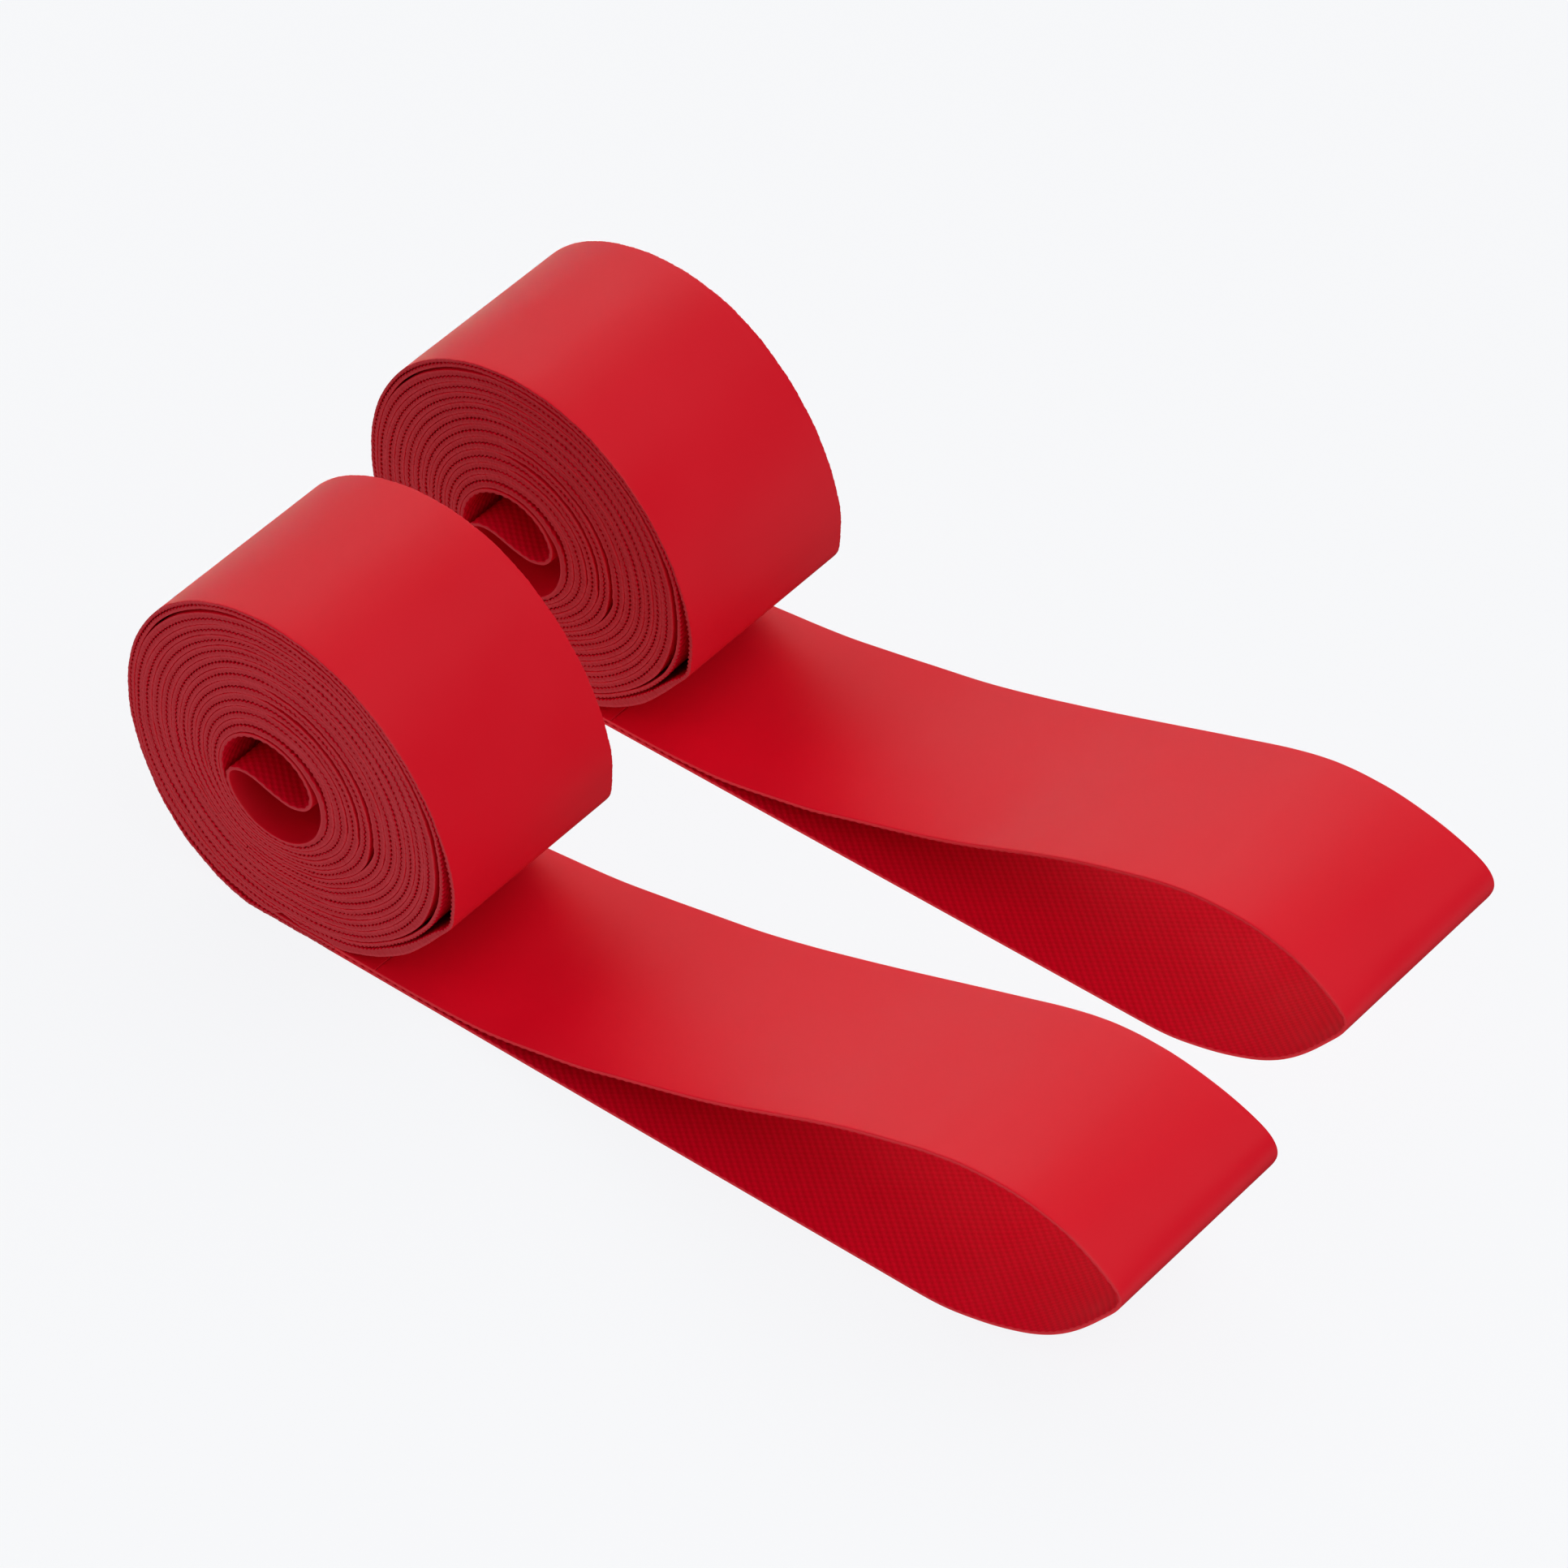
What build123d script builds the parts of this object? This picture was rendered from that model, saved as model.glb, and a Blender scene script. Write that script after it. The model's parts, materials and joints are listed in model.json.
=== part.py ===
from build123d import *
import os
from math import atan2, cos, degrees, hypot, radians, sin

# ---------------------------------------------------------------------------
# A pair of endless coated bands. Each band is pressed flat and rolled up
# double, and the last stretch of the loop lies out along the floor.
# Axes: X runs from the roll towards the free loop, Y along the roll's axis,
# Z up. The origin is the bottom centre of the pair.
# ---------------------------------------------------------------------------

# Driving dimensions, mm
band_width = 22.0            # Y size of the band, and the unit of the shape tables
coating_thickness = 0.24     # smooth outer ply
backing_thickness = 0.18     # woven inner ply
strand_gap = 0.02            # clearance between neighbouring turns
cut_gap = 0.06               # clearance where a ply is divided into lengths
weld_length = 4.0            # length of the weld that closes the loop
rear_shift_x = -0.214 * band_width   # where the rear band lies from the front one
rear_shift_y = 1.777 * band_width

band_thickness = coating_thickness + backing_thickness
half_thickness = band_thickness / 2

# Winding. Angles are in degrees about the hole's centre, from +X towards +Z,
# and grow by 360 with every turn outwards.
turns = 11
facets_per_turn = 40         # flat facets that stand for one turn of the roll
facet_angle = 360 // facets_per_turn
outer_start = 27             # the outer strand leaves the hairpin here
inner_start = 180            # the inner strand's centre line is worked out from here
core_join = 205              # the inner strand meets the fold after this angle
wall_end = 387               # the innermost strand follows the wall table up to here
winding_end = 360 * turns + 270
divisions = [360 * turn + 225 for turn in (2, 5, 8)]    # the roll is divided here

# ---- shapes; every length in this section is in band widths -----------------
thickness = band_thickness / band_width
pitch = thickness + strand_gap / band_width

hole_x, hole_z = 5.598, 0.7485       # centre the turns wind about
roll_x, roll_z = 5.694, 0.848        # centre of the roll's outline
floor_x = 5.50               # the turns end here and run straight along the floor
nip_x = 6.05                 # the free loop leaves the roll here
press_x = 6.60               # the two runs of the loop part here
rise_x = 8.95                # the lower run leaves the floor here

# Outer face of the last turn: angle about the roll's centre, radius
outline = [
    (-90, .806), (-81, .817), (-73.4, .842), (-66.8, .843), (-60, .845), (-52.8, .850),
    (-45.2, .858), (-36.3, .8645), (-26.6, .884), (-17, .916), (-13, .905), (-4, .885),
    (5, .860), (12, .842), (18, .830), (24, .820), (33, .810), (44, .807), (53, .808),
    (61, .811), (69, .817), (77, .823), (84, .828), (90, .833), (96, .838), (101, .843),
    (110, .855), (120, .870), (130, .881), (137, .886), (148, .887), (165, .888),
    (180, .887), (196, .889), (204, .893), (212, .900), (219.5, .905), (227, .910),
    (235, .909), (243, .906), (249, .899), (252.5, .889), (255.6, .8755),
]
# Centre line of the innermost strand: winding angle, radius
wall = [
    (180, .262), (201.5, .266), (211.4, .270), (225, .271), (240.7, .271), (255.5, .269),
    (271, .268), (289.7, .268), (311.6, .267), (335.6, .267), (358, .268), (384, .268),
]
# Outer face of the outer strand where it starts: winding angle, radius
first_face = [(26, .2385), (90, .2645), (135, .282)]
# Radii that the spacing of the turns starts from: direction, radius
base_radii = {
    0: .2585, 45: .2585, 90: .2535, 135: .255,
    180: .2485, 225: .2615, 270: .2585, 315: .2575,
}
# Outer face of turns 1 to 11 straight above the hole's centre, and to its right
top_radii = [.36, .423, .493, .56, .643, .70, .75, .803, .853, .90, .963]
right_radii = [.332, .400, .463, .526, .605, .667, .720, .770, .814, .867, .983]
# Fold at the core, from the left of the hole across it to the hairpin: x, z
fold = [
    (5.347, .694), (5.356, .722), (5.381, .747), (5.419, .7625), (5.469, .766),
    (5.519, .756), (5.575, .7375), (5.6375, .722), (5.6875, .7156), (5.725, .722),
    (5.7625, .7375), (5.794, .769), (5.8075, .806),
]
# Free loop, from the lower run's rise round the end to the crown: x, z
end_bend = [
    (9.10, .013), (9.25, .040), (9.40, .084), (9.50, .120), (9.60, .170), (9.70, .242),
    (9.79, .335), (9.885, .452), (9.945, .550), (9.958, .610), (9.925, .668),
    (9.87, .720), (9.80, .772), (9.70, .822), (9.59, .850), (9.50, .867),
]
# Free loop, from near its crown back towards the roll: x, z
upper_run = [
    (9.43, .874), (9.30, .878), (9.15, .867), (9.00, .832), (8.75, .757), (8.50, .660),
    (8.25, .562), (8.00, .455), (7.75, .365), (7.50, .290), (7.25, .208), (7.00, .152),
    (6.80, .110), (6.60, .062), (6.43, .0385), (6.25, .0295),
]


def interpolate(table, x):
    """Shape-preserving cubic through the (x, y) pairs of a table, at x."""
    xs, ys = zip(*table)
    last = len(xs) - 1
    i = 0
    while i < last - 1 and x > xs[i + 1]:
        i += 1

    def chord_slope(j):
        return (ys[j + 1] - ys[j]) / (xs[j + 1] - xs[j])

    def slope(j):
        if j == 0:
            return chord_slope(0)
        if j == last:
            return chord_slope(last - 1)
        before, after = chord_slope(j - 1), chord_slope(j)
        if before * after <= 0:
            return 0.0
        span_before, span_after = xs[j] - xs[j - 1], xs[j + 1] - xs[j]
        weight_before = 2 * span_after + span_before
        weight_after = span_after + 2 * span_before
        return (weight_before + weight_after) / (weight_before / before + weight_after / after)

    span = xs[i + 1] - xs[i]
    s = (x - xs[i]) / span
    return ((1 + 2 * s) * (1 - s) ** 2 * ys[i] + s * (1 - s) ** 2 * span * slope(i)
            + s * s * (3 - 2 * s) * ys[i + 1] + s * s * (s - 1) * span * slope(i + 1))


def outline_about_hole():
    """The outline table as angle and radius about the hole's centre."""
    table = []
    for roll_angle, roll_radius in outline:
        x = roll_x + roll_radius * cos(radians(roll_angle)) - hole_x
        z = roll_z + roll_radius * sin(radians(roll_angle)) - hole_z
        angle = degrees(atan2(z, x))
        while table and angle < table[-1][0] - 180:
            angle += 360
        table.append((angle, hypot(x, z)))
    return table


last_turn = outline_about_hole()


def last_radius(angle):
    """Outer face of the last turn, kept above the floor."""
    radius = interpolate(last_turn, angle)
    if sin(radians(angle)) < 0:
        radius = min(radius, hole_z / -sin(radians(angle)))
    return radius


def turn_faces():
    """Outer face of every turn at eight directions: winding angle, radius."""
    last_radii = {a: last_radius(a) for a in (0, 45, 90, 135, 180, 225)}
    last_radii[270] = hole_z
    last_radii[315] = last_radius(-45)

    def level(direction, share):
        base = base_radii[direction]
        return base + (last_radii[direction] - base) * share

    def measured_share(direction, radii, turn):
        base = base_radii[direction]
        return (radii[turn - 1] - base) / (radii[-1] - base)

    table = list(first_face)
    for turn in range(turns + 1):
        start = 360 * turn
        left = (turn + 1) / (turns + 1)
        if turn > 0:
            top = measured_share(90, top_radii, turn)
            right = measured_share(0, right_radii, turn)
            table += [
                (start - 45, level(315, .5 * (turn / turns + right))),
                (start, level(0, right)),
                (start + 45, level(45, .5 * (right + top))),
                (start + 90, level(90, top)),
                (start + 135, level(135, .5 * (top + left))),
            ]
        table += [(start + direction, level(direction, left)) for direction in (180, 225, 270)]
    return table


def wind_strands():
    """Centre lines of the outer and inner strands, as {winding angle: radius}."""
    faces = turn_faces()
    outer, inner = {}, {}
    for angle in range(outer_start, winding_end + 1, facet_angle):
        if angle >= winding_end - 360:
            face = last_radius(angle - 360 * turns)
        else:
            face = interpolate(faces, angle)
        centre = face - thickness / 2
        if angle >= inner_start:
            below = outer.get(angle - 360)       # the turn underneath, if there is one
            if angle <= wall_end:
                radius = interpolate(wall, angle)
                if below is not None:
                    radius = max(radius, below + pitch)
            else:
                # the inner strand takes half of any slack between the turns
                radius = below + pitch + 0.5 * max(0.0, centre - below - 2 * pitch)
            inner[angle] = radius
            centre = max(centre, radius + pitch)
        outer[angle] = centre
    return outer, inner


def strand_points(radii):
    """A strand as (winding angle, point) pairs, ended where it reaches the floor."""
    strand = [(angle, (hole_x + radius * cos(radians(angle)),
                       hole_z + radius * sin(radians(angle))))
              for angle, radius in radii.items()]
    while strand[-1][1][0] > floor_x:
        strand.pop()
    return strand


outer_strand, inner_strand = [strand_points(radii) for radii in wind_strands()]


def outer_part(start, end):
    return [point for angle, point in outer_strand if start <= angle <= end]


def inner_part(start, end):
    return [point for angle, point in inner_strand if start <= angle <= end][::-1]


# ---- lengths of the loop, each an open centre line, smooth face on its right --
floor_z = thickness / 2              # strand lying on the floor
stacked_z = floor_z + pitch          # strand lying on that one
floor_xs = (5.60, 5.75, 5.90, nip_x)

# divisions moved to the nearest facet corner
cut_1, cut_2, cut_3 = [
    outer_start + facet_angle * round((angle - outer_start) / facet_angle)
    for angle in divisions
]
lines_in_widths = {
    "core_fold": inner_part(core_join, cut_1) + fold + outer_part(outer_start, cut_1),
    "inner_turns_outer_strand": outer_part(cut_1, cut_2),
    "inner_turns_inner_strand": inner_part(cut_1, cut_2),
    "middle_turns_outer_strand": outer_part(cut_2, cut_3),
    "middle_turns_inner_strand": inner_part(cut_2, cut_3),
    "outer_turns_outer_strand": outer_part(cut_3, winding_end)
    + [(x, floor_z) for x in floor_xs],
    "outer_turns_inner_strand": [(x, stacked_z) for x in reversed(floor_xs)]
    + inner_part(cut_3, winding_end),
    "lower_run": [(x, floor_z) for x in (nip_x, press_x, rise_x)],
    "end_bend": [(rise_x, floor_z)] + end_bend + [upper_run[0]],
    "upper_run": [point for point in upper_run if point[0] >= press_x],
    "upper_lead": [point for point in upper_run if point[0] <= press_x]
    + [(nip_x, stacked_z)],
}
welded_line = "middle_turns_outer_strand"    # the weld fills the start of this length

# ---- from here on, every length is in mm ---------------------------------------
lines = {
    name: [(x * band_width, z * band_width) for x, z in line]
    for name, line in lines_in_widths.items()
}


def distance(start, end):
    return hypot(end[0] - start[0], end[1] - start[1])


def direction_of(start, end):
    length = distance(start, end)
    return ((end[0] - start[0]) / length, (end[1] - start[1]) / length)


def point_along(start, end, length):
    """The point that lies a length from start, on the way to end."""
    ux, uz = direction_of(start, end)
    return (start[0] + ux * length, start[1] + uz * length)


def without_start(line, amount):
    """The line shortened by amount at its start."""
    points = list(line)
    while amount > 0:
        segment = distance(points[0], points[1])
        if segment > amount:
            points[0] = point_along(points[0], points[1], amount)
            break
        amount -= segment
        points.pop(0)
    return points


def trimmed(line, start, end):
    """The line shortened by start and end at its two ends."""
    return without_start(without_start(line, start)[::-1], end)[::-1]


def first_stretch(line, length):
    """The first stretch of the line, of the given length."""
    kept, run = [line[0]], 0.0
    for point, following in zip(line, line[1:]):
        segment = distance(point, following)
        if run + segment >= length:
            kept.append(point_along(point, following, length - run))
            break
        run += segment
        kept.append(following)
    return kept


def side(line, offset):
    """The line moved by offset towards its right-hand side, mitred at its corners."""
    moved = []
    for i, point in enumerate(line):
        arriving = direction_of(line[i - 1], point) if i else direction_of(point, line[1])
        leaving = direction_of(point, line[i + 1]) if i < len(line) - 1 else arriving
        normal_x, normal_z = arriving[1] + leaving[1], -(arriving[0] + leaving[0])
        size = hypot(normal_x, normal_z)
        normal_x, normal_z = normal_x / size, normal_z / size
        mitre = normal_x * arriving[1] - normal_z * arriving[0]
        moved.append((point[0] + normal_x * offset / mitre,
                      point[1] + normal_z * offset / mitre))
    return moved


def write_ply(name, line, right, left, shift_x, shift_y):
    """Write the piece between two offsets of a centre line, one band width deep."""
    line = [(x + shift_x, z) for x, z in line]
    section = side(line, right) + side(line, left)[::-1]
    with BuildPart() as piece:
        with BuildSketch(Plane.XZ.offset(-shift_y)):     # Plane.XZ faces -Y
            with BuildLine():
                Polyline(*section, close=True)
            make_face()
        extrude(amount=-band_width)
    piece.part.label = name
    export_step(piece.part, f"parts/{name}.step")


def write_band(band, shift_x, shift_y):
    """Write the two plies of every length of one band, and its weld."""
    ply_face = half_thickness - coating_thickness        # where the two plies meet
    for name, line in lines.items():
        start_trim = cut_gap / 2
        if name == welded_line:
            start_trim = weld_length + cut_gap
        line = trimmed(line, start_trim, cut_gap / 2)
        write_ply(f"{band}_{name}_coating", line, half_thickness, ply_face, shift_x, shift_y)
        write_ply(f"{band}_{name}_backing", line, ply_face, -half_thickness, shift_x, shift_y)

    # the weld joins the strip's two ends into a loop, through both plies
    weld_line = first_stretch(without_start(lines[welded_line], cut_gap / 2), weld_length)
    write_ply(f"{band}_loop_weld", weld_line, half_thickness, -half_thickness, shift_x, shift_y)


# ---- place the pair so that the origin is its bottom centre ---------------------
outer_xs = [x for line in lines.values() for x, z in side(line, half_thickness)]
pair_left = min(outer_xs) + min(0, rear_shift_x)
pair_right = max(outer_xs) + max(0, rear_shift_x)
origin_x = (pair_left + pair_right) / 2
origin_y = (rear_shift_y + band_width) / 2

os.makedirs("parts", exist_ok=True)
write_band("front", -origin_x, -origin_y)
write_band("rear", rear_shift_x - origin_x, rear_shift_y - origin_y)
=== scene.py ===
"""A pair of endless coated bands, each rolled up double with a free loop left over.

Each band lies on edge lines in the x-z plane: the roll at low x, the loop reaching towards
+x, the lower run on the floor at z = 0 and the band's width along +y. The near edge is the
one at low y. The front band has a copy, the rear band, placed by its own lower run.
Every strand has two plies: a smooth coating and a woven backing.

Lines, tables and lengths are in band widths and angles in degrees, unless marked otherwise.
"""
import json
import math
import bpy
import numpy as np
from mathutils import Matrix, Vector

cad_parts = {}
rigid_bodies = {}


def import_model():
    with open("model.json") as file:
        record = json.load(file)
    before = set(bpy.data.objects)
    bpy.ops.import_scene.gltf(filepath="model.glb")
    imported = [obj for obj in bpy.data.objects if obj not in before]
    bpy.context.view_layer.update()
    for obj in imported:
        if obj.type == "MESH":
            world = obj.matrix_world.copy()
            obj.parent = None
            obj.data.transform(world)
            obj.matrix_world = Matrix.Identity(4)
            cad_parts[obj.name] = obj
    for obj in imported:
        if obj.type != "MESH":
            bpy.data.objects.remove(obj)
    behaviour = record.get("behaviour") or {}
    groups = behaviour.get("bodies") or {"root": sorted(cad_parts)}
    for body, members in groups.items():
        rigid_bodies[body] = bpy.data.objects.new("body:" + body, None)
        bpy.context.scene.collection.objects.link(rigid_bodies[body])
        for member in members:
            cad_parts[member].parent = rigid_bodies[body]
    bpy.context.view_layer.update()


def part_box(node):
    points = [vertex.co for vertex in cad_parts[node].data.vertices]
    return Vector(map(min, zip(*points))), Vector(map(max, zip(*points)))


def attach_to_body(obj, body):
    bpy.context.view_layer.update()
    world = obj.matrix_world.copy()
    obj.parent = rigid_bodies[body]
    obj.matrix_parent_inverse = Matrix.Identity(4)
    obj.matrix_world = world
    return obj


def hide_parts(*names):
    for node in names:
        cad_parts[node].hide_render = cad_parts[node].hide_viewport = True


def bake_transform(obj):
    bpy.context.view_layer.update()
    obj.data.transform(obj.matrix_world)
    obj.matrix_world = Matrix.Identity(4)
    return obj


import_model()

# ---------------------------------------------------------------------------
# driving sizes
# ---------------------------------------------------------------------------
WIDTH = 0.022              # band width, metres
BANDS = ("front", "rear")
NIP_X = 6.05               # hinge where the loop lifts
SEAM_X = 6.12              # where the loop's own pieces start
ROLL_END_X = 5.90          # where the roll's pieces hand over to the nip
RUN_CLEARANCE = 0.00003    # metres between the hinge and the lower run

THICK = 0.0191             # strand thickness
COAT = 0.0106              # smooth ply's share of it
THINNEST = .0150           # least a strand may be squeezed to in the roll
GAP = .0009                # between neighbouring strands
STEP = 0.00625             # along a strand
FOLD_STEP = .0095          # along the fully woven core piece
LINE_STEP = .004           # along the loop's edge lines

HOLE_X, HOLE_Z = 5.598, 0.7485     # centre the turns wind about
ROLL_X, ROLL_Z = 5.694, 0.848      # centre of the roll's outline

TURNS = 11
FIRST_ANGLE = 27
ANGLE_STEP = 0.4
LAST_START = 360 * (TURNS - 1) + 270       # the last turn follows the outline from here
LAST_ANGLE = 360 * TURNS + 270
INNER_START = 180                          # the inner strand begins here
FOLD_OUTER_END = 243.0     # the fully woven core piece ends here on the outer strand,
FOLD_INNER_END = 423.0     # and here, out of sight, on the inner one, which lines the hole
# angles that part core, inner, middle and outer turns
CUTS = [FIRST_ANGLE + 9 * round((360 * turn + 225 - FIRST_ANGLE) / 9) for turn in (2, 5, 8)]

WELD_END = .1818           # along the middle turns' outer strand
AFTER_WELD = .1845
SLIP_TRIM = .0012          # off both ends of the turns that slip sideways

RIBS_ALONG, RIBS_ACROSS = 22.5, 29.0       # weave ribs per band width
FINE_DEPTH, ROLL_DEPTH = .0026, .0037      # weave depth

# x and y of each band's own origin, metres
SHIFT = {}
for band in BANDS:
    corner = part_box(f"{band}_lower_run_coating")[0]
    SHIFT[band] = (corner.x - (NIP_X * WIDTH + RUN_CLEARANCE), corner.y)

# ---------------------------------------------------------------------------
# measured tables
# ---------------------------------------------------------------------------
# roll outline about its own centre: angle, radius
OUTLINE = [
    (-90, .806), (-81, .817), (-73.4, .842), (-66.8, .843), (-60, .845), (-52.8, .850),
    (-45.2, .858), (-36.3, .8645), (-26.6, .884), (-17, .916), (-13, .905), (-4, .885),
    (5, .860), (12, .842), (18, .830), (24, .820), (33, .810), (44, .807), (53, .808),
    (61, .811), (69, .817), (77, .823), (84, .828), (90, .833), (96, .838), (101, .843),
    (110, .855), (120, .870), (130, .881), (137, .886), (148, .887), (165, .888),
    (180, .887), (196, .889), (204, .893), (212, .900), (219.5, .905), (227, .910),
    (235, .909), (243, .906), (249, .899), (252.5, .889), (255.6, .8755)]
# centre line of the fold at the core: x, z
FOLD = [
    (5.347, .694), (5.356, .722), (5.381, .747), (5.419, .7625), (5.469, .766),
    (5.519, .756), (5.575, .7375), (5.6375, .722), (5.6875, .7156), (5.725, .722),
    (5.7625, .7375), (5.794, .769), (5.8075, .806)]

# Radii about the hole's centre. Key: angle of the first entry; each next entry is one turn on.
# Between the two strands of a doubled turn:
STRAND_LINE = {
    180: [.273, .3145, .356, .400, .438, .479, .520, .573, .626, .682, .733, .772],
    225: [.2790, .3105, .3415, .3725, .4045, .4375, .470, .5255, .580, .636, .6985, .7525],
    270: [.2755, .3070, .3385, .3705, .406, .442, .478, .530, .582, .638, .690, .729],
    315: [.279, .3245, .376, .422, .468, .514, .568, .6235, .678, .734, .797],
    360: [.300, .3715, .4363, .5014, .581, .642, .696, .7468, .7928, .8425, .9486],
    405: [.318, .387, .456, .529, .606, .672, .727, .778, .828, .874, .936],
    450: [.320, .386, .452, .525, .594, .655, .708, .758, .807, .858, .920],
    495: [.318, .372, .426, .480, .534, .586, .640, .692, .744, .798, .862],
}
# Between one doubled turn and the next:
TURN_LINE = {
    26: [.2395],
    60: [.2555],
    90: [.2665],
    135: [.2830],
    180: [.294, .3355, .378, .419, .4585, .4995, .5465, .5995, .6535, .712, .7525],
    225: [.2950, .3260, .3570, .3885, .421, .454, .498, .5525, .6075, .670, .726],
    270: [.2910, .3225, .3545, .388, .424, .460, .504, .556, .6095, .670, .7095],
    315: [.3015, .350, .399, .445, .491, .541, .596, .651, .706, .762],
    360: [.3375, .4045, .470, .541, .611, .6695, .722, .7705, .816, .885],
    405: [.354, .424, .494, .568, .644, .702, .752, .804, .852, .900],
    450: [.354, .420, .490, .560, .628, .682, .734, .782, .833, .886],
    495: [.346, .402, .456, .508, .560, .614, .667, .722, .770, .832],
}
# strand that lines the hole: angles, and radii of its centre
WALL_ANGLES = [180, 201.5, 211.4, 225, 240.7, 255.5, 271, 289.7, 311.6, 335.6, 358, 384]
WALL_RADII = [.262, .266, .270, .271, .271, .269, .268, .268, .267, .267, .268, .268]
WALL_LEFT = WALL_ANGLES[-1] + 20           # by here the strand follows the turn below

# The loop's upper run, x and z of the centre line at each edge of the band
TOP_X = 9.43               # where the end bend meets the upper run
NEAR_RUN = [
    (5.90, .0290), (6.25, .0291), (6.43, .0325), (6.60, .0420), (6.714, .0530), (6.86, .0800),
    (6.986, .1095), (7.217, .1655), (7.424, .2350), (7.629, .3035), (7.832, .3735),
    (8.034, .4520), (8.234, .5400), (8.432, .6270), (8.628, .7040), (8.822, .7690),
    (9.015, .8270), (9.207, .8640), (9.35, .8720), (TOP_X, .8710)]
FAR_RUN = [
    (5.90, .0290), (6.10, .0330), (6.35, .0580), (6.60, .0915), (6.854, .1425), (7.111, .1995),
    (7.366, .2575), (7.631, .3345), (7.897, .4225), (8.168, .5175), (8.437, .6155),
    (8.702, .7115), (8.965, .8035), (9.10, .8400), (9.201, .8580), (9.32, .8665),
    (TOP_X, .8650)]
# The end bend, x and z; both edges share its lower part
BEND_LOWER = [
    (8.80, THICK / 2), (8.95, .0095), (9.10, .0165), (9.246, .0465), (9.337, .072),
    (9.429, .105), (9.525, .147), (9.63, .210), (9.731, .296), (9.815, .389)]
NEAR_BEND = BEND_LOWER + [
    (9.892, .487), (9.950, .572), (9.962, .622), (9.922, .672), (9.87, .713), (9.80, .760),
    (9.70, .813), (9.59, .845), (9.50, .864), (TOP_X, .871)]
FAR_BEND = BEND_LOWER + [
    (9.896, .490), (9.955, .585), (9.972, .655), (9.945, .708), (9.88, .752), (9.80, .786),
    (9.70, .818), (9.59, .843), (9.50, .858), (TOP_X, .865)]

# Places across a smooth ply, 0 at the near edge and 1 at the far one, and how far each
# is sunk to round the arrises
COAT_PLACES = np.array([0, .0012, .004, .012, .10, .5, .90, .988, .996, .9988, 1.0])
COAT_ROUNDING = np.array([.0016, .0006, .0001, 0, 0, 0, 0, 0, .0001, .0006, .0016])
# Places across a woven ply, and how strong the weave is there: all over, or at the edges only
FULL_PLACES, FULL_GATE = np.linspace(0, 1, 131), np.ones(131)
RIM_RIBS = np.array([0, .25, .5, .75, 1.0, 1.25]) / RIBS_ACROSS
RIM_PLACES = np.r_[RIM_RIBS, .10, .5, .90, (1 - RIM_RIBS)[::-1]]
RIM_GATE = np.r_[1, 1, 1, 1, 1, .4, 0, 0, 0, .4, 1, 1, 1, 1, 1]


# ---------------------------------------------------------------------------
# curves: a line is an (n, 2) array of x, z; a strand is (smooth-side line, woven-side line)
# ---------------------------------------------------------------------------
def pchip(known_x, known_y, x):
    """Shape-preserving cubic through the known points, at x."""
    known_x = np.asarray(known_x, float)
    known_y = np.asarray(known_y, float)
    x = np.asarray(x, float)
    width = np.diff(known_x)
    rise = np.diff(known_y) / width
    slope = np.zeros(len(known_x))
    w1 = 2 * width[1:] + width[:-1]
    w2 = width[1:] + 2 * width[:-1]
    same_sign = rise[:-1] * rise[1:] > 0
    product = np.where(same_sign, rise[:-1] * rise[1:], 1.0)
    divisor = np.where(same_sign, w1 * rise[1:] + w2 * rise[:-1], 1.0)
    slope[1:-1] = np.where(same_sign, (w1 + w2) * product / divisor, 0.0)
    slope[0] = rise[0]
    slope[-1] = rise[-1]
    i = np.clip(np.searchsorted(known_x, x) - 1, 0, len(width) - 1)
    s = (x - known_x[i]) / width[i]
    return ((1 + 2 * s) * (1 - s) ** 2 * known_y[i] + s * (1 - s) ** 2 * width[i] * slope[i]
            + s * s * (3 - 2 * s) * known_y[i + 1]
            + s * s * (s - 1) * width[i] * slope[i + 1])


def arc(line):
    """Length along a line at each of its points."""
    return np.r_[0, np.cumsum(np.hypot(*np.diff(line, axis=0).T))]


def along(line, lengths, wanted):
    """Points of a line at the wanted lengths."""
    return np.c_[np.interp(wanted, lengths, line[:, 0]), np.interp(wanted, lengths, line[:, 1])]


def spline(points, step):
    """Natural cubic spline: its points, their lengths, and the lengths of the given points."""
    p = np.asarray(points, float)
    u = arc(p)
    n = len(p)
    h = np.diff(u)
    matrix = np.zeros((n, n))
    right_side = np.zeros((n, 2))
    matrix[0, 0] = matrix[-1, -1] = 1
    for i in range(1, n - 1):
        matrix[i, i - 1:i + 2] = h[i - 1], 2 * (h[i - 1] + h[i]), h[i]
        right_side[i] = 6 * ((p[i + 1] - p[i]) / h[i] - (p[i] - p[i - 1]) / h[i - 1])
    bend = np.linalg.solve(matrix, right_side)
    t = np.linspace(0, u[-1], max(3, int(round(u[-1] / step)) + 1))
    i = np.clip(np.searchsorted(u, t) - 1, 0, n - 2)
    span = h[i][:, None]
    before = ((u[i + 1] - t) / h[i])[:, None]
    after = ((t - u[i]) / h[i])[:, None]
    line = before * p[i] + after * p[i + 1] + (
        (before ** 3 - before) * bend[i] + (after ** 3 - after) * bend[i + 1]) * span * span / 6
    return line, t, u


def normals(line):
    """Unit normals on the right-hand side of a line."""
    d = np.gradient(line, axis=0)
    d /= np.maximum(np.hypot(d[:, 0], d[:, 1]), 1e-12)[:, None]
    return np.c_[d[:, 1], -d[:, 0]]


def ramp(x, start, end):
    """Smooth step from 0 at start to 1 at end; end may be the smaller."""
    t = np.clip((x - start) / (end - start), 0, 1)
    return t * t * (3 - 2 * t)


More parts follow.
